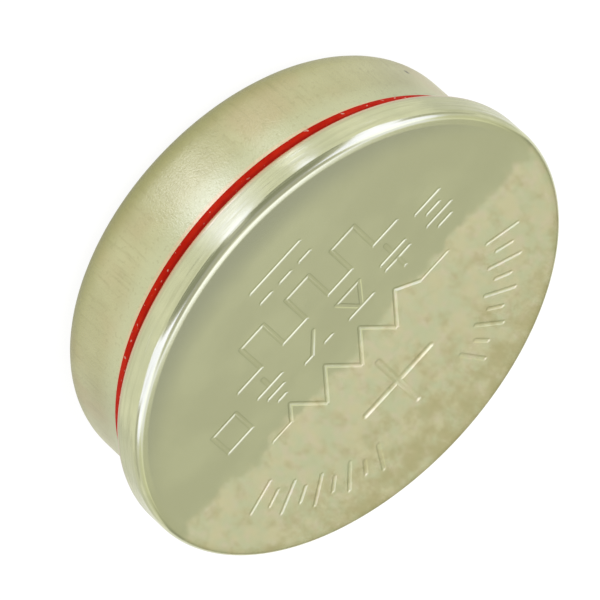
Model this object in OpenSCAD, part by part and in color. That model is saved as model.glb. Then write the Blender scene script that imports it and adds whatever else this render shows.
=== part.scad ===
// Lithium coin cell with a shallow positive cap crimped over a deep drawn negative cup.
//
// The cell lies on its cup with the positive face up, +Z. The origin is on the cell's axis,
// in the plane that the cup stands on. The marks on the face read from -Y, along +X.
// Every piece but the marks is turned round the axis, from a section drawn in X (radius)
// and Y (height).

/* [Cell] */
// Diameter over the positive cap
cell_d = 24.5; // [20:0.5:30]
// Height over both faces
cell_h = 7.7; // [6.5:0.1:10]
// Clearance between curved faces that fit in one another
fit = 0.02; // [0.01:0.01:0.04]

/* [Positive cap] */
// Thickness of the cap's sheet
cap_t = 0.25; // [0.2:0.01:0.3]
// Outer radius of the corner between the face and the skirt
cap_corner_r = 0.42; // [0.36:0.01:0.6]
// Height of the cap, from its face to its crimped edge
cap_depth = 1.85; // [1.75:0.05:2.2]
// Outer radius of the crimp, where the skirt's edge is turned in over the seal
crimp_r = 0.5; // [0.42:0.01:0.55]

/* [Negative cup] */
// Step in from the cap's skirt to the cup's wall
cup_step = 1.02; // [0.9:0.02:1.4]
// Thickness of the cup's sheet
cup_t = 0.25; // [0.2:0.01:0.3]
// Outer radius of the corner between the cup's floor and its wall
cup_corner_r = 1.7; // [0.8:0.05:2.2]
// Inner radius of the bend between the cup's wall and its rim
rim_bend_r = 0.2; // [0.1:0.01:0.25]

/* [Seal ring] */
// Thickness of the seal between the cap's face and the cup's rim
seal_top_t = 0.45; // [0.35:0.01:0.5]
// Thickness of the seal between the cap's skirt and the edge of the cup's rim
seal_skin_t = 0.13; // [0.1:0.01:0.2]
// Thickness of the sleeve that lines the cup's wall
seal_sleeve_t = 0.4; // [0.3:0.01:0.5]
// Height of the lip that shows below the crimped edge
seal_lip_h = 0.78; // [0.5:0.01:1]
// How far the lip stands out from the cup's wall
seal_lip_w = 0.39; // [0.3:0.01:0.5]
// Width of the bevel on the lip's lower edge
lip_bevel = 0.12; // [0.08:0.01:0.2]

/* [Lithium and separator] */
// Thickness of the lithium disc
lithium_t = 1.7; // [1.2:0.1:2.2]
// Bare ring of flat floor left round the lithium disc
lithium_edge = 0.05; // [0.02:0.01:0.5]
// Thickness of the separator
separator_t = 0.25; // [0.1:0.01:0.4]

/* [Cathode] */
// Thickness of the collector disc
collector_t = 0.2; // [0.1:0.01:0.3]
// Diameter of the holes in the collector disc
collector_hole_d = 1.6; // [1:0.1:2]
// Distance between the rings of holes in the collector disc
collector_pitch = 2.8; // [2.4:0.1:4]
// Least width of the bare rim round the holes in the collector disc
collector_rim = 0.4; // [0.2:0.1:1]
// Thickness of the cathode ring's sheet
ring_t = 0.2; // [0.15:0.01:0.25]
// Height of the cathode ring
ring_h = 3.2; // [2:0.1:4]
// Width of the cathode ring's flange, beyond its sleeve
ring_flange_w = 0.28; // [0.15:0.01:0.4]
// Gap between the cathode ring's flange and the seal
ring_gap = 0.08; // [0.05:0.01:0.2]

/* [Marks on the face] */
// Width of a stamped line
mark_w = 0.28; // [0.16:0.01:0.4]
// Depth of every stamped line
mark_depth = 0.036; // [0.02:0.002:0.08]
// Length of each line of the plus sign
plus_len = 4.4; // [3:0.1:5]
// Width of the lines of the plus sign
plus_w = 0.42; // [0.3:0.01:0.6]
// Distance from the axis to the middle of the plus sign
plus_y = 5; // [3.5:0.1:6]
// Height of the marks in the lower three rows
mark_h = 2.2; // [1.6:0.1:2.4]
// Distance between the middle lines of the rows of marks
row_pitch = 2.9; // [2.6:0.1:3.1]
// Distance from the axis to the middle line of the top row
top_row_y = 7.8; // [7.2:0.1:8.2]
// Length of the direct-current sign in the top row
dc_len = 3.2; // [2:0.1:4]
// Length of the square wave in the second row
wave_len = 10.6; // [7:0.1:12]
// Distance between the circuit signs in the third row
sign_pitch = 2.75; // [2.4:0.05:3.2]
// Length of the zigzag in the fourth row, with its straight ends
zigzag_len = 11.8; // [9:0.1:13]
// Distance from the edge of the flat face to the outer ends of the scale's long ticks
scale_inset = 2.1; // [1:0.1:3]
// Length of a long tick
tick_len = 1.8; // [1:0.1:2]
// Angle between neighbouring ticks
tick_step = 6; // [4:0.5:6]

/* [Hidden] */
$fn = 96;

cell_r = cell_d / 2;
cap_bore_r = cell_r - cap_t;
face_r = cell_r - cap_corner_r;          // the face is flat out to here
cap_floor_z = cell_h - cap_t;            // underside of the cap's face
crimp_z = cell_h - cap_depth;            // lower edge of the crimp
crimp_edge_r = cell_r - crimp_r;         // radius at which the turned-in sheet ends
crimp_top_z = crimp_z + cap_t;           // upper corner of the turned-in sheet

cup_r = cell_r - cup_step;
cup_bore_r = cup_r - cup_t;
cup_flat_r = cup_r - cup_corner_r;       // the floor is flat out to here
rim_r = cap_bore_r - seal_skin_t;        // edge of the cup's rim
rim_top_z = cap_floor_z - seal_top_t;
rim_z = rim_top_z - cup_t;
rim_bend_z = rim_z - rim_bend_r;         // where the cup's wall starts to bend out

lip_z = crimp_z - seal_lip_h;
lip_r = cup_r + seal_lip_w;
sleeve_r = cup_bore_r - fit;
seal_bore_r = sleeve_r - seal_sleeve_t;

lithium_r = cup_flat_r - lithium_edge;
lithium_top_z = cup_t + lithium_t;
separator_r = cup_bore_r - fit;
separator_top_z = lithium_top_z + separator_t;
ring_flange_r = seal_bore_r - ring_gap;
ring_r = ring_flange_r - ring_flange_w;
pellet_r = ring_r - ring_t - fit;
pellet_top_z = cap_floor_z - collector_t;

collector_rings = floor((pellet_r - collector_rim - collector_hole_d / 2) / collector_pitch);
wave_steps = 7;
zigzag_strokes = 8;
scale_ticks = 9;
cut_over = 0.5;                          // how far a cutting shape stands over the face

// Signs of circuit drawings as lines round their middle, in half heights of the row
resistor = [[[-0.7, 0.8], [0.7, 0.8]], [[0.7, 0.8], [0.7, -0.8]],
            [[0.7, -0.8], [-0.7, -0.8]], [[-0.7, -0.8], [-0.7, 0.8]]];
earth = [[[0, 1], [0, 0.3]], [[-0.7, 0.3], [0.7, 0.3]],
         [[-0.45, -0.3], [0.45, -0.3]], [[-0.2, -0.9], [0.2, -0.9]]];
switch = [[[-0.8, -0.5], [-0.4, -0.5]], [[-0.4, -0.5], [0.4, 0.7]],
          [[0.4, -0.5], [0.8, -0.5]]];
diode = [[[-0.7, 0.7], [0.7, 0.7]], [[0.7, 0.7], [0, -0.7]],
         [[0, -0.7], [-0.7, 0.7]], [[-0.7, -0.7], [0.7, -0.7]]];
capacitor = [[[0, 1], [0, 0.25]], [[-0.7, 0.25], [0.7, 0.25]],
             [[-0.7, -0.25], [0.7, -0.25]], [[0, -0.25], [0, -1]]];
cells = [[[-0.7, 0.9], [0.7, 0.9]], [[-0.35, 0.3], [0.35, 0.3]],
         [[-0.7, -0.3], [0.7, -0.3]], [[-0.35, -0.9], [0.35, -0.9]]];
signs = [resistor, earth, switch, diode, capacitor, cells];

module turned() {
    rotate_extrude() children();
}

// A plain disc from height z, from its radius and thickness.
module disc(r, t, z) {
    translate([0, 0, z]) cylinder(r = r, h = t);
}

// Section of a bend in sheet of thickness t: a quarter ring about [x, y] with outer radius r,
// on the side that way_x and way_y (each 1 or -1) point to.
module bend(x, y, r, t, way_x, way_y) {
    translate([x, y])
        intersection() {
            difference() {
                circle(r = r);
                circle(r = r - t);
            }
            translate([way_x > 0 ? 0 : -r, way_y > 0 ? 0 : -r]) square(r);
        }
}

// A straight stamped line between two points, with round ends.
module stroke(a, b, w = mark_w) {
    run = b - a;
    translate(a)
        rotate(atan2(run.y, run.x)) {
            translate([0, -w / 2]) square([norm(run), w]);
            circle(d = w);
            translate([norm(run), 0]) circle(d = w);
        }
}

// Lines from each point to the next.
module polyline(points) {
    for (i = [0 : len(points) - 2]) stroke(points[i], points[i + 1]);
}

module plus_sign() {
    half = plus_len / 2;
    translate([0, -plus_y]) {
        stroke([-half, 0], [half, 0], plus_w);
        stroke([0, -half], [0, half], plus_w);
    }
}

// The direct-current sign: a long line over three dashes.
module dc_sign(y) {
    gap = mark_h / 4;
    dash = dc_len / 5;
    stroke([-dc_len / 2, y + gap], [dc_len / 2, y + gap]);
    for (side = [-1 : 1]) {
        mid = side * 2 * dash;
        stroke([mid - dash / 2, y - gap], [mid + dash / 2, y - gap]);
    }
}

module square_wave(y) {
    step = wave_len / wave_steps;
    function level(i) = y + (i % 2 == 0 ? -1 : 1) * mark_h / 2;
    polyline([for (i = [0 : wave_steps - 1], end = [0, 1])
        [(i + end) * step - wave_len / 2, level(i)]]);
}

module sign_row(y) {
    for (i = [0 : len(signs) - 1]) {
        middle = [(i - (len(signs) - 1) / 2) * sign_pitch, y];
        for (line = signs[i])
            stroke(middle + line[0] * mark_h / 2, middle + line[1] * mark_h / 2);
    }
}

// The older sign of a resistor: a zigzag between two straight ends.
module zigzag(y) {
    step = zigzag_len / (zigzag_strokes + 2);
    half = mark_h / 2;
    start_x = -zigzag_len / 2;
    polyline([
        [start_x, y],
        [start_x + step, y],
        for (i = [1 : zigzag_strokes - 1])
            [start_x + (i + 0.5) * step, y + (i % 2 == 0 ? -half : half)],
        [start_x + (zigzag_strokes + 0.5) * step, y],
        [-start_x, y],
    ]);
}

// Two arcs of a dial's scale along the lower edge, every other tick short.
module scale() {
    scale_r = face_r - scale_inset - tick_len / 2;
    for (middle = [225, 315], i = [0 : scale_ticks - 1]) {
        angle = middle + (i - (scale_ticks - 1) / 2) * tick_step;
        half = tick_len / (i % 2 == 0 ? 2 : 4);
        rotate(angle) stroke([scale_r - half, 0], [scale_r + half, 0]);
    }
}

module marks() {
    translate([0, 0, cell_h - mark_depth])
        linear_extrude(mark_depth + cut_over) {
            plus_sign();
            dc_sign(top_row_y);
            square_wave(top_row_y - row_pitch);
            sign_row(top_row_y - 2 * row_pitch);
            zigzag(top_row_y - 3 * row_pitch);
            scale();
        }
}

// The shallow lid: face, rounded corner, straight skirt and turned-in edge.
module positive_cap() {
    color("#acb087")
        difference() {
            turned() {
                corner_y = cell_h - cap_corner_r;
                bend_y = crimp_z + crimp_r;
                translate([0, cap_floor_z]) square([face_r, cap_t]);
                bend(face_r, corner_y, cap_corner_r, cap_t, 1, 1);
                translate([cap_bore_r, bend_y]) square([cap_t, corner_y - bend_y]);
                bend(crimp_edge_r, bend_y, crimp_r, cap_t, 1, -1);
            }
            marks();
        }
}

// The deep drawn cup: floor, rounded corner, straight wall and a rim turned out under the cap.
module negative_cup() {
    color("#c8c69a")
        turned() {
            rim_bend_x = cup_r + rim_bend_r;
            square([cup_flat_r, cup_t]);
            bend(cup_flat_r, cup_corner_r, cup_corner_r, cup_t, 1, -1);
            translate([cup_bore_r, cup_corner_r]) square([cup_t, rim_bend_z - cup_corner_r]);
            bend(rim_bend_x, rim_bend_z, rim_bend_r + cup_t, cup_t, -1, 1);
            translate([rim_bend_x, rim_z]) square([rim_r - rim_bend_x, cup_t]);
        }
}

// The moulded ring that keeps cap and cup apart: a sleeve inside the cup, a bridge over its
// rim, and a leg that the crimp squeezes against the rim's underside and that ends in the lip.
module seal_ring() {
    color("#b3301f")
        turned()
            polygon([
                [seal_bore_r, separator_top_z],
                [sleeve_r, separator_top_z],
                [sleeve_r, rim_top_z],
                [rim_r + fit, rim_top_z],
                [rim_r + fit, rim_z],
                [cup_r + rim_bend_r, rim_z],
                [cup_r + fit, rim_bend_z],
                [cup_r + fit, lip_z],
                [lip_r - lip_bevel, lip_z],
                [lip_r, lip_z + lip_bevel],
                [crimp_edge_r - fit, crimp_z],
                [crimp_edge_r - fit, crimp_top_z],
                [cap_bore_r - fit, crimp_z + crimp_r],
                [cap_bore_r - fit, cell_h - cap_corner_r],
                [face_r, cap_floor_z],
                [seal_bore_r, cap_floor_z],
            ]);
}

module lithium_disc() {
    color("#b9bdc2") disc(lithium_r, lithium_t, cup_t);
}

module separator() {
    color("#f1eee4") disc(separator_r, separator_t, lithium_top_z);
}

module cathode_pellet() {
    color("#2b2a2c") disc(pellet_r, pellet_top_z - separator_top_z, separator_top_z);
}

// Ring pressed round the pellet, its flange welded under the cap.
module cathode_ring() {
    color("#a9a9a4")
        turned() {
            translate([ring_r - ring_t, cap_floor_z - ring_h]) square([ring_t, ring_h]);
            translate([ring_r - ring_t, cap_floor_z - ring_t])
                square([ring_flange_w + ring_t, ring_t]);
        }
}

// Thin perforated disc between the pellet and the cap.
module cathode_collector() {
    color("#8f9094")
        difference() {
            disc(pellet_r, collector_t, pellet_top_z);
            for (ring = [1 : collector_rings], i = [0 : 6 * ring - 1])
                rotate(i * 60 / ring)
                    translate([ring * collector_pitch, 0, pellet_top_z - cut_over])
                        cylinder(d = collector_hole_d, h = collector_t + 2 * cut_over);
        }
}

positive_cap();
negative_cup();
seal_ring();
lithium_disc();
separator();
cathode_pellet();
cathode_ring();
cathode_collector();
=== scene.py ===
# %% [markdown]
# # A lithium coin cell
#
# A coin cell is two shallow steel shells nested in one another. The wide positive cap is crimped
# over the rim of a narrower, deeper negative cup, and a moulded red ring keeps the two apart.
# Everything that makes the current is sealed inside.
#
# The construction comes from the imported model. This script dresses it: the two shells and the
# seal are modelled again with finer, rounder meshes, and every surface gets its finish.

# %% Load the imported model
from math import cos, pi, radians, sin, sqrt, tau

import bmesh
import bpy
from mathutils import Matrix, Vector


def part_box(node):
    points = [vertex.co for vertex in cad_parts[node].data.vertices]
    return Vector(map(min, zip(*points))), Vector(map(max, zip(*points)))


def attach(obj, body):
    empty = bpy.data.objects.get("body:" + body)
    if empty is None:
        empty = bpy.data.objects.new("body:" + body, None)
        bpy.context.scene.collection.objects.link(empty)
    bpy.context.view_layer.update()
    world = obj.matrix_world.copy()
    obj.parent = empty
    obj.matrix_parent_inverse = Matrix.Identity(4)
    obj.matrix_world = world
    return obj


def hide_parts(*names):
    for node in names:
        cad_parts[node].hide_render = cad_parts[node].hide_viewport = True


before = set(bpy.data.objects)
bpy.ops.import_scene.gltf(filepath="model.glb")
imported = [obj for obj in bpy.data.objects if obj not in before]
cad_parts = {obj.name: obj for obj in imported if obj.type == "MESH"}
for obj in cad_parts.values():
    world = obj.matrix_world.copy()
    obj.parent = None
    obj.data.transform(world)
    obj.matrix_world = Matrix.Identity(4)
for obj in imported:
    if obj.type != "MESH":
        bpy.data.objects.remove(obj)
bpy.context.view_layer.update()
BODY = "root"
MM = 0.001
print("nodes:", sorted(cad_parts))

# %% [markdown]
# ## Sizes
#
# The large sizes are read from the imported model, so the new meshes can't drift away from it.
# The sheet's thickness and the bend radii can't be read from a box, so they are repeated here.
# The cell lies on its cup, with the positive face up and the axis along Z. Names that end in _MM
# hold a size in millimetres, which is what the materials count in.

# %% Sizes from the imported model
CELL_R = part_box("positive_cap")[1].x
FACE_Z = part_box("positive_cap")[1].z
CRIMP_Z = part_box("positive_cap")[0].z
RIM_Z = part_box("negative_cup")[1].z
RIM_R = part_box("negative_cup")[1].x
SLEEVE_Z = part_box("seal_ring")[0].z
print(f"cell {2000 * CELL_R:.2f} mm across, {1000 * FACE_Z:.2f} mm high, "
      f"cap {1000 * (FACE_Z - CRIMP_Z):.2f} mm deep")

# %% Sizes that a box doesn't show
SHEET_T = 0.25 * MM
CAP_CORNER_R = 0.42 * MM
CRIMP_R = 0.5 * MM
CUP_STEP = 1.02 * MM
CUP_R = CELL_R - CUP_STEP
CUP_CORNER_R = 1.7 * MM
RIM_BEND_R = 0.2 * MM
LIP_H = 0.78 * MM
LIP_Z = CRIMP_Z - LIP_H
LIP_W = 0.39 * MM
LIP_R = CUP_R + LIP_W
MIDDLE = Vector((0, 0, FACE_Z / 2))
print(f"cup {2000 * CUP_R:.2f} mm across, lip {2000 * LIP_R:.2f} mm across")


# %% [markdown]
# ## Turning a section into a shell
#
# A deep-drawn shell is the same all round, so one section turned about the axis makes it. The
# section starts as a few corner points. Bevelling a point turns it into an arc, as the press
# tool does, and a full spin with its ends merged leaves no seam. Solidify then gives the skin
# the sheet's thickness, on the inside. A cylinder with bevelled edges would do for the corners
# too, but not for a crimp that turns in or a rim that turns out.

# %% Section and spin helpers
TURN_STEPS = 288
BEND_STEPS = 12
MERGE_DISTANCE = 1e-7
SHARP_ANGLE = 35


def section(corners, closed=False):
    """A bmesh line through the corners, each (radius, height, bend radius), with its bends."""
    bm = bmesh.new()
    points = [bm.verts.new((r, 0, z)) for r, z, _ in corners]
    ends = points[1:] + points[:1] if closed else points[1:]
    for a, b in zip(points, ends):
        bm.edges.new((a, b))
    for point, (_, _, bend) in zip(points, corners):
        if bend:
            bmesh.ops.bevel(bm, geom=[point], affect="VERTICES", offset=bend,
                            segments=BEND_STEPS, profile=0.5, material=-1)
    bmesh.ops.remove_doubles(bm, verts=bm.verts, dist=MERGE_DISTANCE)
    return bm


def turn(bm, steps=TURN_STEPS):
    """Spins a section once round the axis and closes its seam and pole."""
    bmesh.ops.spin(bm, geom=bm.verts[:] + bm.edges[:], cent=(0, 0, 0), axis=(0, 0, 1),
                   angle=tau, steps=steps, use_merge=True)
    bmesh.ops.remove_doubles(bm, verts=bm.verts, dist=MERGE_DISTANCE)
    bmesh.ops.recalc_face_normals(bm, faces=bm.faces)


def thicken(bm, inner_point):
    """Gives a turned line the thickness of the sheet, on the side of this point on the axis."""
    middle = min(bm.faces, key=lambda face: face.calc_center_median().xy.length)
    if middle.normal.dot(middle.calc_center_median() - inner_point) < 0:
        bmesh.ops.reverse_faces(bm, faces=bm.faces[:])
    bmesh.ops.solidify(bm, geom=bm.faces[:], thickness=SHEET_T)


def finished(bm, name, material, sharp=SHARP_ANGLE):
    """Makes the object for a bmesh, smooth but for edges of more degrees than sharp."""
    for face in bm.faces:
        face.smooth = True
    mesh = bpy.data.meshes.new(name)
    bm.to_mesh(mesh)
    bm.free()
    mesh.set_sharp_from_angle(angle=radians(sharp))
    mesh.materials.append(material)
    piece = bpy.data.objects.new(name, mesh)
    bpy.context.collection.objects.link(piece)
    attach(piece, BODY)
    print(f"{name}: {len(mesh.vertices)} vertices, {len(mesh.polygons)} faces")
    return piece


# %% [markdown]
# ## The stamped marks
#
# The positive face carries a plus sign, and rows of plain drawing marks: a direct-current sign, a
# square wave, six signs from circuit drawings, a zigzag, and two arcs of a dial's scale. A stamp
# with rounded ridges pushes them into the sheet, so each line is a shallow groove with round
# ends. The plus sign and the scale are a little shallower than the rows.
#
# A bump in the material would look much the same from above, but it vanishes along the face and
# leaves the mesh flat. So each groove is cut by a die whose underside is an arc, and all dies are
# cut from the face together, in one Boolean.

# %% Layout of the marks
MARK_W = 0.28 * MM
MARK_DEPTH = 0.036 * MM
SOFT_DEPTH = 0.026 * MM
MARK_H = 2.2 * MM
DC_LEN = 3.2 * MM
WAVE_LEN = 10.6 * MM
SIGN_PITCH = 2.75 * MM
ZIGZAG_LEN = 11.8 * MM
PLUS_LEN = 4.4 * MM
PLUS_W = 0.42 * MM
PLUS_Y = -5.0 * MM
TOP_ROW_Y = 7.8 * MM
ROW_PITCH = 2.9 * MM
FACE_R = CELL_R - CAP_CORNER_R
TICK_LEN = 1.8 * MM
SCALE_INSET = 2.1 * MM
SCALE_R = FACE_R - SCALE_INSET - TICK_LEN / 2
SCALE_MIDDLES = 225, 315

# Signs from circuit drawings as lines round their middle, in half heights of the row
RESISTOR = [((-0.7, 0.8), (0.7, 0.8)), ((0.7, 0.8), (0.7, -0.8)),
            ((0.7, -0.8), (-0.7, -0.8)), ((-0.7, -0.8), (-0.7, 0.8))]
EARTH = [((0, 1), (0, 0.3)), ((-0.7, 0.3), (0.7, 0.3)),
         ((-0.45, -0.3), (0.45, -0.3)), ((-0.2, -0.9), (0.2, -0.9))]
SWITCH = [((-0.8, -0.5), (-0.4, -0.5)), ((-0.4, -0.5), (0.4, 0.7)),
          ((0.4, -0.5), (0.8, -0.5))]
DIODE = [((-0.7, 0.7), (0.7, 0.7)), ((0.7, 0.7), (0, -0.7)),
         ((0, -0.7), (-0.7, 0.7)), ((-0.7, -0.7), (0.7, -0.7))]
CAPACITOR = [((0, 1), (0, 0.25)), ((-0.7, 0.25), (0.7, 0.25)),
             ((-0.7, -0.25), (0.7, -0.25)), ((0, -0.25), (0, -1))]
CELLS = [((-0.7, 0.9), (0.7, 0.9)), ((-0.35, 0.3), (0.35, 0.3)),
         ((-0.7, -0.3), (0.7, -0.3)), ((-0.35, -0.9), (0.35, -0.9))]


def chain(points):
    """The strokes that join each point to the next."""
    return list(zip(points, points[1:]))


def plus_sign(y, half):
    """A level and an upright stroke that cross at their middles."""
    return [((-half, y), (half, y)), ((0, y - half), (0, y + half))]


def direct_current_sign(y, length):
    """A long stroke over three dashes, with gaps as long as the dashes."""
    gap, dash = MARK_H / 4, length / 5
    dashes = [((mid - dash / 2, y - gap), (mid + dash / 2, y - gap))
              for mid in (-2 * dash, 0, 2 * dash)]
    return [((-length / 2, y + gap), (length / 2, y + gap))] + dashes


def square_wave(y, length, steps=7):
    """One stroke after another that steps between the row's lower and upper edge."""
    step = length / steps
    levels = [y + (MARK_H if i % 2 else -MARK_H) / 2 for i in range(steps)]
    return chain([((i + end) * step - length / 2, levels[i])
                  for i in range(steps) for end in (0, 1)])


def sign_row(y, pitch, signs):
    """The strokes of a row of signs, centred on the face."""
    strokes = []
    for i, sign in enumerate(signs):
        x = (i - (len(signs) - 1) / 2) * pitch
        strokes += [tuple((x + u * MARK_H / 2, y + v * MARK_H / 2) for u, v in line)
                    for line in sign]
    return strokes


def zigzag(y, length, strokes=8):
    """A zigzag between two short straight ends."""
    step, half = length / (strokes + 2), MARK_H / 2
    start = -length / 2
    peaks = [(start + (i + 0.5) * step, y + (half if i % 2 else -half))
             for i in range(1, strokes)]
    return chain([(start, y), (start + step, y), *peaks,
                  (start + (strokes + 0.5) * step, y), (-start, y)])


def dial_scale(middle, ticks=9, step=6):
    """Ticks round the face, with this many degrees from one to the next, long and short in turn."""
    strokes = []
    for i in range(ticks):
        angle = radians(middle + (i - (ticks - 1) / 2) * step)
        half = TICK_LEN / (4 if i % 2 else 2)
        strokes.append(tuple((r * cos(angle), r * sin(angle))
                             for r in (SCALE_R - half, SCALE_R + half)))
    return strokes


thin_strokes = (direct_current_sign(TOP_ROW_Y, DC_LEN)
                + square_wave(TOP_ROW_Y - ROW_PITCH, WAVE_LEN)
                + sign_row(TOP_ROW_Y - 2 * ROW_PITCH, SIGN_PITCH,
                           [RESISTOR, EARTH, SWITCH, DIODE, CAPACITOR, CELLS])
                + zigzag(TOP_ROW_Y - 3 * ROW_PITCH, ZIGZAG_LEN))
scale_strokes = [stroke for middle in SCALE_MIDDLES for stroke in dial_scale(middle)]
plus_strokes = plus_sign(PLUS_Y, PLUS_LEN / 2)
print(len(thin_strokes), "thin strokes,", len(scale_strokes), "ticks and",
      len(plus_strokes), "strokes for the plus sign")


# %% The dies that press the marks
def add_die(bm, a, b, width, depth, levels=6, end_steps=12):
    """A closed body along a line, whose rounded underside dents a groove of this size.

    It is a stack of rings. The lowest is a tenth of the width, and the highest is a little wider
    than the groove and so stands clear of the face.
    """
    radius = (width ** 2 / 4 + depth ** 2) / (2 * depth)
    a, b = Vector((*a, 0)), Vector((*b, 0))
    along = (b - a).normalized()
    across = Vector((-along.y, along.x, 0))
    loops = []
    for level in range(levels):
        reach = width / 2 * (level + 0.5) / (levels - 1)
        height = FACE_Z - depth + radius - sqrt(radius ** 2 - reach ** 2)
        loop = []
        for end, way in ((a, -1), (b, 1)):
            for i in range(end_steps + 1):
                turn_by = pi * i / end_steps
                point = end + way * reach * (cos(turn_by) * across + sin(turn_by) * along)
                loop.append(bm.verts.new((point.x, point.y, height)))
        loops.append(loop)
    for low, high in zip(loops, loops[1:]):
        for i, vert in enumerate(low):
            bm.faces.new((low[i - 1], vert, high[i], high[i - 1]))
    bm.faces.new(loops[0])
    bm.faces.new(reversed(loops[-1]))


def cut_marks(bm):
    """Presses every mark into the bmesh of the cap and gives back the dented bmesh."""
    dies = bmesh.new()
    for strokes, width, depth in ((thin_strokes, MARK_W, MARK_DEPTH),
                                  (scale_strokes, MARK_W, SOFT_DEPTH),
                                  (plus_strokes, PLUS_W, SOFT_DEPTH)):
        for a, b in strokes:
            add_die(dies, a, b, width, depth)
    bmesh.ops.recalc_face_normals(dies, faces=dies.faces)
    shapes = []
    for name, shape in (("blank", bm), ("dies", dies)):
        mesh = bpy.data.meshes.new(name)
        shape.to_mesh(mesh)
        shape.free()
        shapes.append(bpy.data.objects.new(name, mesh))
        bpy.context.collection.objects.link(shapes[-1])
    blank, die_object = shapes
    cut = blank.modifiers.new("marks", "BOOLEAN")
    cut.operation = "DIFFERENCE"
    cut.solver = "EXACT"
    cut.use_self = True
    cut.object = die_object
    dented = bmesh.new()
    dented.from_object(blank, bpy.context.evaluated_depsgraph_get())
    for shape in shapes:
        mesh = shape.data
        bpy.data.objects.remove(shape)
        bpy.data.meshes.remove(mesh)
    return dented


# %% [markdown]
# ## Material helpers
#
# Every finish is a small node tree that reads Object coordinates. A Mapping node turns metres
# into millimetres first, so that each noise scale below is simply a number of cells a millimetre.
# Painted images would need an unwrapped mesh, and show their grain when one comes close.

# %% Sizes in millimetres
FACE_Z_MM = FACE_Z / MM
CRIMP_Z_MM = CRIMP_Z / MM
LIP_Z_MM = LIP_Z / MM
FACE_R_MM = FACE_R / MM
CELL_R_MM = CELL_R / MM
CUP_R_MM = CUP_R / MM
print(f"face at {FACE_Z_MM:.2f}, crimp at {CRIMP_Z_MM:.2f} and lip at {LIP_Z_MM:.2f} mm")


# %% Node helpers
def link(tree, source, target):
    """Joins one node's output to another's input."""
    tree.links.new(source, target)


def new_material(name, roughness, metallic=0.0):
    """A material with one Principled shader, and its coordinates in millimetres."""
    material = bpy.data.materials.new(name)
    material.use_nodes = True
    tree = material.node_tree
    shader = tree.nodes["Principled BSDF"]
    shader.inputs["Roughness"].default_value = roughness
    shader.inputs["Metallic"].default_value = metallic
    coordinates = tree.nodes.new("ShaderNodeTexCoord")
    in_mm = tree.nodes.new("ShaderNodeMapping")
    in_mm.inputs["Scale"].default_value = (1 / MM, 1 / MM, 1 / MM)
    link(tree, coordinates.outputs["Object"], in_mm.inputs["Vector"])
    return material, tree, shader, in_mm.outputs["Vector"]


def noise(tree, vector, scale, detail=2.0, stretch=(1, 1, 1), roughness=0.5):
    """Noise with this many cells a millimetre, squeezed by stretch along each axis."""
    squeeze = tree.nodes.new("ShaderNodeMapping")
    squeeze.inputs["Scale"].default_value = stretch
    link(tree, vector, squeeze.inputs["Vector"])
    texture = tree.nodes.new("ShaderNodeTexNoise")
    texture.inputs["Scale"].default_value = scale
    texture.inputs["Detail"].default_value = detail
    texture.inputs["Roughness"].default_value = roughness
    link(tree, squeeze.outputs["Vector"], texture.inputs["Vector"])
    return texture.outputs["Fac"]


def spread(tree, value, low, high, to_low=0.0, to_high=1.0):
    """Maps a value from one range to another with soft ends."""
    node = tree.nodes.new("ShaderNodeMapRange")
    node.interpolation_type = "SMOOTHSTEP"
    for name, number in (("From Min", low), ("From Max", high),
                         ("To Min", to_low), ("To Max", to_high)):
        node.inputs[name].default_value = number
    link(tree, value, node.inputs["Value"])
    return node.outputs["Result"]


def calculate(tree, operation, a, b):
    """One sum of two values, each a socket or a number."""
    node = tree.nodes.new("ShaderNodeMath")
    node.operation = operation
    for socket, value in zip(node.inputs, (a, b)):
        if isinstance(value, (int, float)):
            socket.default_value = value
        else:
            link(tree, value, socket)
    return node.outputs["Value"]


def blend(tree, amount, a, b):
    """Mixes two colours, each a socket or three numbers, by an amount that is one too."""
    node = tree.nodes.new("ShaderNodeMix")
    node.data_type = "RGBA"
    for name, value in (("Factor_Float", amount), ("A_Color", a), ("B_Color", b)):
        socket = next(s for s in node.inputs if s.identifier == name)
        if isinstance(value, (int, float)):
            socket.default_value = value
        elif isinstance(value, tuple):
            socket.default_value = (*value, 1)
        else:
            link(tree, value, socket)
    return next(s for s in node.outputs if s.identifier == "Result_Color")


def bumps(tree, shader, height, distance, strength=1.0):
    """Turns a height into small bumps of this depth in metres, over any bumps already there."""
    node = tree.nodes.new("ShaderNodeBump")
    node.inputs["Strength"].default_value = strength
    node.inputs["Distance"].default_value = distance
    link(tree, height, node.inputs["Height"])
    earlier = shader.inputs["Normal"].links
    if earlier:
        link(tree, earlier[0].from_socket, node.inputs["Normal"])
    link(tree, node.outputs["Normal"], shader.inputs["Normal"])


def around(tree, vector, radius_mm):
    """Coordinates that follow a round wall, in mm: X runs along it and Z up it, and Y is nought."""
    parts = tree.nodes.new("ShaderNodeSeparateXYZ")
    link(tree, vector, parts.inputs["Vector"])
    angle = calculate(tree, "ARCTAN2", parts.outputs["Y"], parts.outputs["X"])
    joined = tree.nodes.new("ShaderNodeCombineXYZ")
    link(tree, calculate(tree, "MULTIPLY", angle, radius_mm), joined.inputs["X"])
    link(tree, parts.outputs["Z"], joined.inputs["Z"])
    return joined.outputs["Vector"]


def length_of(tree, vector):
    """The length of a vector."""
    node = tree.nodes.new("ShaderNodeVectorMath")
    node.operation = "LENGTH"
    link(tree, vector, node.inputs[0])
    return node.outputs["Value"]


def from_axis(tree, vector):
    """Distance from the cell's axis."""
    level = tree.nodes.new("ShaderNodeMapping")
    level.inputs["Scale"].default_value = (1, 1, 0)
    link(tree, vector, level.inputs["Vector"])
    return length_of(tree, level.outputs["Vector"])


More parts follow.
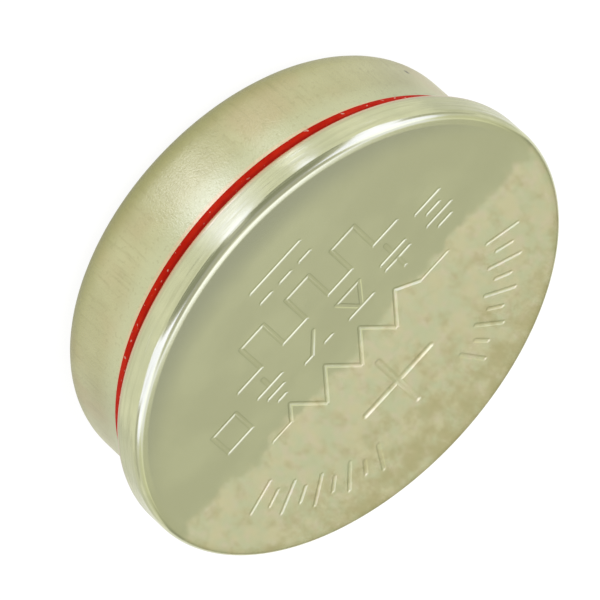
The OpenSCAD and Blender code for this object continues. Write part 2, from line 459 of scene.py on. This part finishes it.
def moved(tree, vector, by):
    """The vector with these numbers of millimetres added."""
    shift = tree.nodes.new("ShaderNodeMapping")
    shift.inputs["Location"].default_value = by
    link(tree, vector, shift.inputs["Vector"])
    return shift.outputs["Vector"]


def axis_value(tree, vector, axis):
    """The vector's X, Y or Z."""
    parts = tree.nodes.new("ShaderNodeSeparateXYZ")
    link(tree, vector, parts.inputs["Vector"])
    return parts.outputs[axis]


# %% [markdown]
# ## Nickel on the cap
#
# Both shells are steel sheet plated with nickel, which is a slightly yellow, half-bright metal.
# The cap is smooth. The lower part of its face, from the fourth row of marks down, has a
# blotchy, rougher film with an uneven edge, and its lighter colour there is partly a painted
# reflection. Beyond the top row, painted shade darkens the face a little toward its edge. On the
# skirt, fine scratches and long shallow waves run round the cap, and toward the lower edge it has
# painted shade and a painted reddish reflection of the seal.
#
# One material does all of it, because the cap is one piece of metal: masks made from height and
# place say where each finish shows.

# %% Where the cap's finishes lie, in millimetres
FILM_EDGE_Y = -0.75
SHADE_MIDDLE_Y = -3.0
SHADE_RADII = 12.3, 14.4
SHADE_END_RADII = FACE_R_MM - 0.23, FACE_R_MM - 0.11
OLIVE_Y = -12, -4
FACE_HEIGHTS = FACE_Z_MM - 0.12, FACE_Z_MM - 0.06
SKIRT_HEIGHTS = FACE_Z_MM - 0.7, FACE_Z_MM - 0.3
CRIMP_SHADE_HEIGHTS = CRIMP_Z_MM + 0.42, CRIMP_Z_MM + 0.56
SEAL_REFLECTION_HEIGHTS = CRIMP_Z_MM + 0.05, CRIMP_Z_MM + 0.5
FOLD_HEIGHTS = CRIMP_Z_MM + 0.04, CRIMP_Z_MM + 0.14
print(f"the cap's skirt is scratched below {SKIRT_HEIGHTS[1]:.2f} mm")

# %% Cap colours and gloss
FACE_TINTS = (0.58, 0.593, 0.323), (0.625, 0.64, 0.35)
FACE_EDGE_SHADE = (0.425, 0.44, 0.265)
SIDE_TINTS = (0.56, 0.575, 0.35), (0.62, 0.63, 0.385)
SIDE_STREAK = (0.47, 0.475, 0.28)
CRIMP_SHADE = (0.46, 0.45, 0.28)
SEAL_REFLECTION = (0.87, 0.47, 0.30)
FILM_AND_REFLECTION_TINTS = (0.64, 0.66, 0.345), (0.71, 0.67, 0.345)
PINK_FILM = (0.73, 0.66, 0.38)
OLIVE_FILM = (0.54, 0.495, 0.21)
SHINY, MATT = 0.16, 0.26

# %% Film and painted reflection on the lower part of the face
cap_metal, tree, shader, mm = new_material("cap_metal", roughness=SHINY, metallic=1.0)
height = axis_value(tree, mm, "Z")
on_face = spread(tree, height, *FACE_HEIGHTS)
ragged = noise(tree, mm, 0.35, detail=3, stretch=(1, 0.4, 1))
below_edge = calculate(tree, "SUBTRACT", FILM_EDGE_Y, axis_value(tree, mm, "Y"))
below_edge = calculate(tree, "ADD", below_edge, spread(tree, ragged, 0.25, 0.75, -0.6, 0.6))
wisps = noise(tree, mm, 1.6, detail=2, stretch=(1, 0.35, 1))
below_edge = calculate(tree, "ADD", below_edge, spread(tree, wisps, 0.3, 0.7, -0.25, 0.25))
film = calculate(tree, "MULTIPLY", spread(tree, below_edge, -0.45, 0.45), on_face)

# %% Colours of the face
clouds = noise(tree, mm, 0.25, detail=3)
face_tint = blend(tree, spread(tree, clouds, 0.35, 0.65), *FACE_TINTS)
# Painted shade: beyond the top row the face is darkened toward its edge, most on the +Y side.
from_shade_middle = from_axis(tree, moved(tree, mm, (0, -SHADE_MIDDLE_Y, 0)))
painted_edge_shade = spread(tree, from_shade_middle, *SHADE_RADII, 0.0, 0.8)
before_corner = spread(tree, from_axis(tree, mm), *SHADE_END_RADII, 1, 0)
painted_edge_shade = calculate(tree, "MULTIPLY", painted_edge_shade, before_corner)
face_tint = blend(tree, painted_edge_shade, face_tint, FACE_EDGE_SHADE)
# The film's tones are lighter than the face's: partly its own colour, partly a painted reflection.
patches = noise(tree, mm, 1.2, detail=4, stretch=(1, 0.5, 1), roughness=0.6)
film_and_reflection_tint = blend(tree, spread(tree, patches, 0.35, 0.65), *FILM_AND_REFLECTION_TINTS)
pink = noise(tree, mm, 1.6, detail=3, stretch=(1, 0.5, 2.1), roughness=0.6)
film_and_reflection_tint = blend(tree, spread(tree, pink, 0.45, 0.70, 0.0, 0.7), film_and_reflection_tint, PINK_FILM)
olive = noise(tree, mm, 1.1, detail=4, stretch=(1, 0.5, 1.3), roughness=0.6)
lower = spread(tree, axis_value(tree, mm, "Y"), *OLIVE_Y, 0.2, 0)
olive = calculate(tree, "ADD", olive, lower)
film_and_reflection_tint = blend(tree, spread(tree, olive, 0.46, 0.82, 0.0, 0.85), film_and_reflection_tint, OLIVE_FILM)

# %% Colours of the skirt
round_skirt = around(tree, mm, CELL_R_MM)
streaks = noise(tree, round_skirt, 5, detail=3, stretch=(0.05, 1, 1), roughness=0.6)
side_tint = blend(tree, spread(tree, noise(tree, mm, 0.5, detail=3), 0.35, 0.65), *SIDE_TINTS)
side_tint = blend(tree, spread(tree, streaks, 0.45, 0.7, 0.0, 0.6), side_tint, SIDE_STREAK)
# Painted shade: the skirt is darkened where it turns in toward the crimp.
painted_crimp_shade = spread(tree, height, *CRIMP_SHADE_HEIGHTS, 0.5, 0.0)
side_tint = blend(tree, painted_crimp_shade, side_tint, CRIMP_SHADE)
# Painted reflection: a reddish tint from the red seal on the skirt, just above the crimp's fold.
painted_seal_reflection = spread(tree, height, *SEAL_REFLECTION_HEIGHTS, 0.9, 0.0)
above_fold = spread(tree, height, *FOLD_HEIGHTS)
painted_seal_reflection = calculate(tree, "MULTIPLY", painted_seal_reflection, above_fold)
side_tint = blend(tree, painted_seal_reflection, side_tint, SEAL_REFLECTION)
tint = blend(tree, on_face, side_tint, blend(tree, film, face_tint, film_and_reflection_tint))
link(tree, tint, shader.inputs["Base Color"])

# %% Gloss, scratches and waves of the cap
skirt = spread(tree, height, *SKIRT_HEIGHTS, 1, 0)
matter = calculate(tree, "MAXIMUM", film, skirt)
link(tree, spread(tree, matter, 0, 1, SHINY, MATT), shader.inputs["Roughness"])
bumps(tree, shader, noise(tree, mm, 0.35, detail=1), 0.003 * MM)
scratches = noise(tree, round_skirt, 9, detail=2, stretch=(0.08, 1, 1))
scratches = calculate(tree, "SUBTRACT", scratches, 0.5)
bumps(tree, shader, calculate(tree, "MULTIPLY", scratches, skirt), 0.008 * MM)
waves = noise(tree, round_skirt, 2.2, detail=3, stretch=(0.09, 1, 1), roughness=0.6)
waves = calculate(tree, "SUBTRACT", waves, 0.5)
bumps(tree, shader, calculate(tree, "MULTIPLY", waves, skirt), 0.045 * MM)
print("cap_metal:", len(tree.nodes), "nodes")

# %% [markdown]
# ## Nickel on the cup
#
# Deep drawing stretches the sheet and leaves it matter, with a fine grain that glitters where
# the light hits it, faint cloudy patches, and fine upright lines where the sheet slid over the
# tool. A painted highlight makes the wall lighter toward the lip, a painted sheen with a reddish
# reflection of the seal lies just under the lip, and painted shade darkens it toward its bottom
# corner. It has one small dark nick. Masks from height and radius keep lines and painted shade off
# the underside.

# %% Where the cup's finishes lie, in millimetres
DRAW_LINE_HEIGHTS = 0.3, 1.2
CORNER_SHADE_HEIGHTS = 0.3, 2.2
CORNER_SHADE_RADII = CUP_R_MM - 2.53, CUP_R_MM - 1.33
UPPER_SHEEN_HEIGHTS = 3.2, 4.4
SHEEN_HEIGHTS = LIP_Z_MM - 0.47, LIP_Z_MM - 0.32
NICK_ANGLE = 18
NICK_Z = 2.29
NICK_REACH = 0.06, 0.2
print(f"the cup's wall is at full sheen {LIP_Z_MM - SHEEN_HEIGHTS[1]:.2f} mm under the lip")

# %% Cup colours
CUP_TINTS = (0.52, 0.51, 0.28), (0.60, 0.595, 0.34)
WARM_CUP = (0.56, 0.49, 0.275)
DRAW_LINE = (0.43, 0.41, 0.22)
HIGH_CUP_SHEEN = (0.595, 0.615, 0.375)
LIP_SHEEN = (0.80, 0.54, 0.33)
CORNER_SHADE = (0.33, 0.32, 0.10)
DARK_NICK = (0.10, 0.09, 0.05)

# %% Cup material
cup_metal, tree, shader, mm = new_material("cup_metal", roughness=0.31, metallic=1.0)
clouds = noise(tree, mm, 0.2, detail=4, roughness=0.6)
tint = blend(tree, spread(tree, clouds, 0.35, 0.65), *CUP_TINTS)
warm = noise(tree, mm, 0.3, detail=3, stretch=(1, 1, 0.7))
tint = blend(tree, spread(tree, warm, 0.50, 0.70, 0.0, 0.7), tint, WARM_CUP)
round_wall = around(tree, mm, CUP_R_MM)
draw_lines = noise(tree, round_wall, 4, detail=3, stretch=(1, 1, 0.12), roughness=0.6)
height = axis_value(tree, mm, "Z")
draw_lines = calculate(tree, "MULTIPLY", draw_lines, spread(tree, height, *DRAW_LINE_HEIGHTS))
tint = blend(tree, spread(tree, draw_lines, 0.5, 0.75, 0.0, 0.5), tint, DRAW_LINE)
# Painted highlight: the upper wall is made lighter toward the lip.
tint = blend(tree, spread(tree, height, *UPPER_SHEEN_HEIGHTS, 0.0, 0.8), tint, HIGH_CUP_SHEEN)
# Painted highlight with a painted reddish reflection of the seal, just under the lip.
tint = blend(tree, spread(tree, height, *SHEEN_HEIGHTS, 0.0, 0.55), tint, LIP_SHEEN)
# Painted shade: the wall darkens toward its bottom corner, but not on the underside.
painted_corner_shade = calculate(tree, "MULTIPLY", spread(tree, height, *CORNER_SHADE_HEIGHTS, 0.85, 0.0),
                  spread(tree, from_axis(tree, mm), *CORNER_SHADE_RADII))
tint = blend(tree, painted_corner_shade, tint, CORNER_SHADE)
pits = noise(tree, mm, 5, detail=1)
tint = blend(tree, spread(tree, pits, 0.58, 0.72, 0.0, 0.3), tint, DRAW_LINE)
from_nick = length_of(tree, moved(tree, round_wall,
                                  (-CUP_R_MM * radians(NICK_ANGLE), 0, -NICK_Z)))
tint = blend(tree, spread(tree, from_nick, *NICK_REACH, 0.8, 0.0), tint, DARK_NICK)
link(tree, tint, shader.inputs["Base Color"])
grain = noise(tree, mm, 9, detail=2, roughness=0.7)
bumps(tree, shader, grain, 0.026 * MM)
bumps(tree, shader, noise(tree, mm, 0.3, detail=1), 0.01 * MM)
print("cup_metal:", len(tree.nodes), "nodes")

# %% [markdown]
# ## The red seal
#
# The ring is moulded polypropylene, coloured right through, with hardly any shine. A few tiny
# pale specks of dust and flash sit on it. It is darker close under the crimp and along the bottom
# of its lip, where little light gets in.

# %% Seal colours and where they lie, in millimetres
RED_TINTS = (0.62, 0.012, 0.002), (0.74, 0.024, 0.005)
DARK_RED = (0.40, 0.008, 0.002)
PALE_SPECK = (0.85, 0.55, 0.42)
UNDER_CRIMP_HEIGHTS = CRIMP_Z_MM - 0.43, CRIMP_Z_MM - 0.25
LIP_BOTTOM_HEIGHTS = LIP_Z_MM + 0.03, LIP_Z_MM + 0.18

# %% Seal material
seal_plastic, tree, shader, mm = new_material("seal_plastic", roughness=0.5)
shader.inputs["Specular IOR Level"].default_value = 0.04
shade = noise(tree, mm, 1.2, detail=3)
red = blend(tree, spread(tree, shade, 0.3, 0.7), *RED_TINTS)
specks = noise(tree, mm, 5.5, detail=0)
red = blend(tree, spread(tree, specks, 0.74, 0.78, 0.0, 0.7), red, PALE_SPECK)
height = axis_value(tree, mm, "Z")
under_crimp = spread(tree, height, *UNDER_CRIMP_HEIGHTS, 0.0, 0.7)
red = blend(tree, under_crimp, red, DARK_RED)
lip_bottom = spread(tree, height, *LIP_BOTTOM_HEIGHTS, 0.45, 0.0)
red = blend(tree, lip_bottom, red, DARK_RED)
link(tree, red, shader.inputs["Base Color"])
bumps(tree, shader, noise(tree, mm, 4, detail=2), 0.02 * MM)
print("seal_plastic:", len(tree.nodes), "nodes")


# %% [markdown]
# ## The pieces inside
#
# Nobody sees them in a closed cell, so there is nothing to gain from new meshes. Each keeps its
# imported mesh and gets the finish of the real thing: dull grey lithium, white felt, black pressed
# powder and thin bright steel.

# %% Materials of the inner pieces
def cloudy_material(name, dark, light, scale, roughness, metallic, bump_depth):
    """A finish that wanders between two colours, with bumps of the same grain."""
    material, tree, shader, mm = new_material(name, roughness, metallic)
    grain = noise(tree, mm, scale, detail=5, roughness=0.65)
    link(tree, blend(tree, spread(tree, grain, 0.3, 0.7), dark, light),
         shader.inputs["Base Color"])
    bumps(tree, shader, grain, bump_depth)
    return material


inner_steel = cloudy_material("inner_steel", (0.48, 0.48, 0.46), (0.60, 0.60, 0.58),
                              scale=1.5, roughness=0.28, metallic=1.0, bump_depth=0.004 * MM)
inner_finishes = {
    "lithium_disc": cloudy_material("lithium", (0.40, 0.41, 0.43), (0.55, 0.57, 0.60),
                                    scale=0.8, roughness=0.45, metallic=1.0,
                                    bump_depth=0.02 * MM),
    "separator": cloudy_material("separator_felt", (0.72, 0.70, 0.64), (0.88, 0.87, 0.83),
                                 scale=4.0, roughness=0.9, metallic=0.0, bump_depth=0.05 * MM),
    "cathode_pellet": cloudy_material("pellet_powder", (0.012, 0.012, 0.013),
                                      (0.04, 0.038, 0.038), scale=6.0, roughness=0.85,
                                      metallic=0.0, bump_depth=0.04 * MM),
    "cathode_ring": inner_steel,
    "cathode_collector": inner_steel,
}
for node, material in inner_finishes.items():
    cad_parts[node].material_slots[0].material = material
print("finished inner pieces:", sorted(inner_finishes))

# %% [markdown]
# ## The positive cap
#
# Its section is a line out from the axis along the face, round the corner, down the short skirt
# and in under the crimp. The face starts to fall away just before the corner, as it does where
# sheet is drawn over a rounded tool. One extra point inside that keeps the shading of the flat
# face flat. The marks are cut last, from the finished sheet.

# %% Cap
EDGE_DROP = 0.045 * MM
DROP_INSET = 0.08 * MM
DROP_START_R = FACE_R - DROP_INSET
DROP_BEND = 0.12 * MM
EDGE_BEND = 0.36 * MM
FLAT_MARGIN = 0.2 * MM
MARK_SHARP_ANGLE = 12       # the sides of the marks are steeper, so they don't shade the face

bm = section([
    (0, FACE_Z, 0),
    (DROP_START_R - FLAT_MARGIN, FACE_Z, 0),
    (DROP_START_R, FACE_Z, DROP_BEND),
    (CELL_R, FACE_Z - EDGE_DROP, EDGE_BEND),
    (CELL_R, CRIMP_Z, CRIMP_R),
    (CELL_R - CRIMP_R, CRIMP_Z, 0),
])
turn(bm)
thicken(bm, MIDDLE)
cap = finished(cut_marks(bm), "cap", cap_metal, sharp=MARK_SHARP_ANGLE)
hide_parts("positive_cap")

# %% [markdown]
# ## The negative cup
#
# The cup is drawn from the same sheet, so it is made the same way: floor, rounded corner, wall,
# and a rim turned out under the cap. The rim shows from no side, but it is what the crimp holds.

# %% Cup
bm = section([
    (0, 0, 0),
    (CUP_R - CUP_CORNER_R - FLAT_MARGIN, 0, 0),
    (CUP_R, 0, CUP_CORNER_R),
    (CUP_R, RIM_Z - SHEET_T, RIM_BEND_R),
    (RIM_R, RIM_Z - SHEET_T, 0),
])
turn(bm)
thicken(bm, MIDDLE)
cup = finished(bm, "cup", cup_metal)
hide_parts("negative_cup")

# %% [markdown]
# ## The seal ring
#
# A sleeve inside the cup, a bridge over its rim, and a leg that the crimp squeezes in. Its lip
# stands out below the crimp as a soft red bead. It is moulded and not made of sheet, so here the
# section is a closed outline, and the turned shape is solid without a Solidify.

# %% Seal
FIT = 0.02 * MM
SLEEVE_R = CUP_R - SHEET_T - FIT
SLEEVE_T = 0.4 * MM
SEAL_BORE_R = SLEEVE_R - SLEEVE_T
BRIDGE_Z = FACE_Z - SHEET_T
CRIMP_EDGE_R = CELL_R - CRIMP_R - FIT
LIP_ROUND = 0.16 * MM

bm = section([
    (SEAL_BORE_R, SLEEVE_Z, 0),
    (SLEEVE_R, SLEEVE_Z, 0),
    (SLEEVE_R, RIM_Z, 0),
    (RIM_R + FIT, RIM_Z, 0),
    (RIM_R + FIT, RIM_Z - SHEET_T, 0),
    (CUP_R + RIM_BEND_R, RIM_Z - SHEET_T, 0),
    (CUP_R + FIT, RIM_Z - SHEET_T - RIM_BEND_R, 0),
    (CUP_R + FIT, LIP_Z, 0),
    (LIP_R, LIP_Z, LIP_ROUND),
    (CRIMP_EDGE_R, CRIMP_Z, 0),
    (CRIMP_EDGE_R, CRIMP_Z + SHEET_T, 0),
    (CELL_R - SHEET_T - FIT, CRIMP_Z + CRIMP_R, 0),
    (CELL_R - SHEET_T - FIT, FACE_Z - CAP_CORNER_R, 0),
    (FACE_R, BRIDGE_Z, 0),
    (SEAL_BORE_R, BRIDGE_Z, 0),
], closed=True)
turn(bm)
seal = finished(bm, "seal", seal_plastic)
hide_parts("seal_ring")

# %% [markdown]
# ## Camera
#
# A long lens from the side of the top row of marks, 35 degrees over the face, and turned about
# its own line of sight until the positive face looks down to the right. A long lens from far off
# keeps the round outlines true, as in a catalogue. A rotation that tracks a direction aims it, and
# the turn comes last.

# %% Directions
def toward(azimuth, elevation, distance):
    """A point as seen from the cell, with azimuth from +X to +Y, in degrees."""
    a, e = radians(azimuth), radians(elevation)
    return Vector((cos(a) * cos(e), sin(a) * cos(e), sin(e))) * distance


# %% Camera
LENS = 540.5
SENSOR_WIDTH = 36
CLIP_START, CLIP_END = 0.01, 20
CAMERA_AZIMUTH = 90
CAMERA_ELEVATION = 35.04
CAMERA_ROLL = 132.45
CAMERA_DISTANCE = 414.7 * MM
AIM = Vector((-0.318 * MM, -0.305 * MM, FACE_Z / 2))

camera_data = bpy.data.cameras.new("camera")
camera_data.lens = LENS
camera_data.sensor_width = SENSOR_WIDTH
camera_data.clip_start = CLIP_START
camera_data.clip_end = CLIP_END
camera = bpy.data.objects.new("camera", camera_data)
bpy.context.collection.objects.link(camera)
back = toward(CAMERA_AZIMUTH, CAMERA_ELEVATION, 1)
level = (-back).to_track_quat("-Z", "Y").to_matrix().to_4x4()
camera.matrix_world = (Matrix.Translation(AIM + back * CAMERA_DISTANCE)
                       @ level @ Matrix.Rotation(radians(CAMERA_ROLL), 4, "Z"))
bpy.context.scene.camera = camera
print(f"the camera is {1000 * CAMERA_DISTANCE:.0f} mm away")

# %% [markdown]
# ## Floor and cards
#
# The cell lies on a plain white floor. The floor is a hair under it, because two faces in one
# plane would fight, and from below it can be seen through, so that the underside shows too.
#
# Metal shows what is round it, so the studio is part of the finish. Lamps would throw their light
# on the floor as well, so most of it is cards that glow, and that only reflections see. At each
# side a tall panel leans out over an upright foot, and the two draw the broad streaks on the
# rounded corner. An arch of strips runs from one to the other round the back, and draws the thin
# line along the face's edge. Low at the back it is dark, which gives the marks their dark side.
# The camera's own side is darker too, which gives the rim its grey band. A column on that side
# and cards on the floor draw the soft columns on the skirt and the cup, and a sky closes the top.

# %% Studio helpers
def rays(tree, names):
    """One for rays of these kinds, else nought."""
    path = tree.nodes.new("ShaderNodeLightPath")
    value = path.outputs[f"Is {names[0]} Ray"]
    for name in names[1:]:
        value = calculate(tree, "MAXIMUM", value, path.outputs[f"Is {name} Ray"])
    return value


def stage_sheet(name, bm, material):
    """The object for a bmesh of the stage."""
    mesh = bpy.data.meshes.new(name)
    bm.to_mesh(mesh)
    bm.free()
    mesh.materials.append(material)
    sheet = bpy.data.objects.new(name, mesh)
    bpy.context.collection.objects.link(sheet)
    return sheet


# %% Floor
FLOOR_SIZE = 6.0
FLOOR_DROP = 0.02 * MM
FLOOR_TONES = 0.45, 0.14    # for other rays, and for the camera
FLOOR_GLOW = 0.50, 0.92     # for reflections, and for the camera; soft light gets none

floor_paint, tree, shader, _ = new_material("floor_paint", roughness=0.9)
shader.inputs["Specular IOR Level"].default_value = 0.0
shader.inputs["Emission Color"].default_value = (1, 1, 1, 1)
to_camera = rays(tree, ["Camera"])
tone = spread(tree, to_camera, 0, 1, *FLOOR_TONES)
link(tree, blend(tree, tone, (0, 0, 0), (1, 1, 1)), shader.inputs["Base Color"])
glow = calculate(tree, "MULTIPLY", spread(tree, to_camera, 0, 1, *FLOOR_GLOW),
                 rays(tree, ["Camera", "Glossy", "Transmission"]))
link(tree, glow, shader.inputs["Emission Strength"])
geometry = tree.nodes.new("ShaderNodeNewGeometry")
link(tree, spread(tree, geometry.outputs["Backfacing"], 0, 1, 1, 0), shader.inputs["Alpha"])

bm = bmesh.new()
bmesh.ops.create_grid(bm, x_segments=1, y_segments=1, size=FLOOR_SIZE / 2)
bmesh.ops.translate(bm, vec=(0, 0, -FLOOR_DROP), verts=bm.verts)
stage_sheet("floor", bm, floor_paint)
print(f"the floor is {1000 * FLOOR_DROP:.2f} mm under the cell")


# %% Card helpers
DOME_R = 0.6                # in metres, as are the distances of the cards round the cell
UNDER_CARD_Z = 0.03 * MM
CARD_Z = 0.05 * MM
OVER_CARD_Z = 0.07 * MM


def card_paint(name, colour, glow):
    """Black paint that glows in this colour."""
    material, tree, shader, _ = new_material(name, roughness=1.0)
    shader.inputs["Base Color"].default_value = (0, 0, 0, 1)
    shader.inputs["Specular IOR Level"].default_value = 0.0
    shader.inputs["Emission Color"].default_value = (*colour, 1)
    shader.inputs["Emission Strength"].default_value = glow
    return material


def only_in_reflections(card):
    """Hides a card from the camera, from soft light and from shadows."""
    card.visible_camera = False
    card.visible_diffuse = False
    card.visible_shadow = False


def between(pair, share):
    """The value this share of the way from the first to the second."""
    return pair[0] + (pair[1] - pair[0]) * share


def dome_card(name, azimuths, elevations, paint, distance=DOME_R, top_azimuths=None):
    """A card that curves round the cell, and may lean: its top can have azimuths of its own."""
    bm = bmesh.new()
    bmesh.ops.create_grid(bm, x_segments=24, y_segments=8, size=0.5)
    for vert in bm.verts:
        across, up = vert.co.x + 0.5, vert.co.y + 0.5
        azimuth = between((between(azimuths, across),
                           between(top_azimuths or azimuths, across)), up)
        vert.co = toward(azimuth, between(elevations, up), distance)
    only_in_reflections(stage_sheet(name, bm, paint))


def floor_card(name, near, near_angles, far, far_angles, paint, height=CARD_Z):
    """A card just over the floor, placed by where the wall shows its ends to the camera.

    The near and the far end each have a distance from the wall and two angles round it. The wall
    mirrors the camera's side, so what shows at an angle lies at twice the turn from the camera.
    """
    corners = [(near, near_angles[0]), (far, far_angles[0]),
               (far, far_angles[1]), (near, near_angles[1])]
    bm = bmesh.new()
    points = []
    for reach, angle in corners:
        on_wall = toward(angle, 0, CUP_R)
        mirrored = toward(2 * angle - CAMERA_AZIMUTH, 0, reach)
        points.append(bm.verts.new(on_wall + mirrored + Vector((0, 0, height))))
    bm.faces.new(points)
    only_in_reflections(stage_sheet(name, bm, paint))


# %% Card paints
panel_paint = card_paint("panel_paint", (1.0, 1.0, 1.58), 1.65)
back_paint = card_paint("back_paint", (1.0, 1.0, 1.50), 1.8)
strip_paint = card_paint("strip_paint", (1.0, 1.0, 1.58), 1.25)
haze_paint = card_paint("haze_paint", (1.0, 0.98, 1.3), 1.1)
column_paint = card_paint("column_paint", (1.0, 1.0, 1.45), 2.1)
streak_paint = card_paint("streak_paint", (1.0, 1.0, 1.50), 1.7)
side_paint = card_paint("side_paint", (1.0, 1.0, 1.30), 2.2)
spill_paint = card_paint("spill_paint", (1.0, 1.0, 1.15), 1.2)
faint_paint = card_paint("faint_paint", (1.0, 1.0, 1.1), 0.75)
pale_paint = card_paint("pale_paint", (1.0, 1.0, 1.0), 0.82)
wall_paint = card_paint("wall_paint", (1.0, 1.0, 1.0), 0.65)
dim_paint = card_paint("dim_paint", (1.0, 1.0, 1.0), 0.59)
sky_paint = card_paint("sky_paint", (1.0, 0.99, 1.15), 0.60)
dark_paint = card_paint("dark_paint", (0.98, 1.0, 0.96), 0.44)

# %% Cards round the cell
dome_card("right_foot", (8, 32), (0, 22), panel_paint)
dome_card("right_panel", (-11, 32), (22, 62), panel_paint, top_azimuths=(-45, 32))
dome_card("left_foot", (141, 172), (0, 22), panel_paint)
dome_card("left_panel", (140, 190), (22, 60), panel_paint, top_azimuths=(139, 222))
dome_card("back_strip", (-182, -2), (47, 61), strip_paint, distance=0.62)
dome_card("back_haze", (-182, -2), (61, 68), faint_paint, distance=0.62)
dome_card("back_panel", (-93, -87), (41, 64), back_paint, top_azimuths=(-110, -70))
dome_card("back_top", (-110, -70), (64, 88), haze_paint)
dome_card("back_wall", (-114, -66), (22, 44), wall_paint, distance=0.8)
dome_card("low_back", (-128, -52), (-1, 22), dark_paint, distance=0.8)
dome_card("right_back", (-68, -52), (20, 33), dim_paint, distance=0.79)
dome_card("left_back", (-128, -112), (20, 33), dim_paint, distance=0.79)
dome_card("near_column", (84, 93), (0, 9), column_paint)
dome_card("near_haze", (82, 97), (9, 45), faint_paint)
dome_card("dark_side", (43, 133), (0, 50), dark_paint, distance=0.8)
dome_card("side_fade", (35, 141), (0, 50), wall_paint, distance=0.81)
dome_card("right_beyond", (-52, 8), (17, 44), pale_paint, distance=0.85)
dome_card("right_gap", (-28, 8), (0, 17), wall_paint, distance=0.85)
dome_card("left_beyond", (172, 232), (17, 44), pale_paint, distance=0.85)
dome_card("left_gap", (172, 208), (0, 17), wall_paint, distance=0.85)
dome_card("sky", (0, 360), (50, 89.9), sky_paint, distance=0.82)

# %% Cards on the floor
FAR_END = 280 * MM
SIDE_START = 19 * MM
DIM_START = 3 * MM

floor_card("dark_floor", 28 * MM, (63, 112), FAR_END, (62, 113), dark_paint, UNDER_CARD_Z)
floor_card("right_floor", SIDE_START, (53, 58), FAR_END, (49, 60), panel_paint)
floor_card("left_floor", SIDE_START, (117, 120), FAR_END, (115, 127), panel_paint)
floor_card("near_spill", 2.5 * MM, (79, 99), 60 * MM, (82, 95), spill_paint)
floor_card("near_cup_floor", 4.2 * MM, (83.5, 95), 6.5 * MM, (84, 94.5), column_paint, OVER_CARD_Z)
floor_card("near_floor", 10.1 * MM, (84, 94), 70 * MM, (86, 92), streak_paint, OVER_CARD_Z)
floor_card("side_cup_floor", 5.2 * MM, (67, 72), 7.5 * MM, (67, 72), side_paint, OVER_CARD_Z)
floor_card("side_floor", 10.5 * MM, (67, 72), 18 * MM, (68, 72), streak_paint, OVER_CARD_Z)
floor_card("right_dim", DIM_START, (20, 36), FAR_END, (20, 38), pale_paint)
floor_card("left_dim", DIM_START, (144, 160), FAR_END, (142, 160), pale_paint)

# %% [markdown]
# ## Lamp and world
#
# One soft lamp adds a little light from one side to the seal and the floor, and reflections don't
# see it. The world lights everything evenly from all sides, at the strength that shows as white.
# The Standard view leaves colours as they are set.

# %% Lamp
LAMP_SIZE = 0.5
LAMP_POWER = 1.2

lamp_data = bpy.data.lights.new("soft_lamp", "AREA")
lamp_data.shape = "DISK"
lamp_data.size = LAMP_SIZE
lamp_data.energy = LAMP_POWER
lamp = bpy.data.objects.new("soft_lamp", lamp_data)
bpy.context.collection.objects.link(lamp)
lamp_place = toward(azimuth=50, elevation=60, distance=0.7)
lamp.matrix_world = (Matrix.Translation(lamp_place)
                     @ lamp_place.to_track_quat("Z", "Y").to_matrix().to_4x4())
lamp.visible_camera = False
lamp.visible_glossy = False
print(f"the lamp is {lamp_place.z:.2f} m over the floor")

# %% World
WORLD_STRENGTH = 1.0

world = bpy.data.worlds.new("studio")
bpy.context.scene.world = world
world.use_nodes = True
background = world.node_tree.nodes["Background"]
background.inputs["Strength"].default_value = WORLD_STRENGTH
background.inputs["Color"].default_value = (1, 1, 1, 1)
bpy.context.scene.view_settings.view_transform = "Standard"
print("the world's strength is", background.inputs["Strength"].default_value)
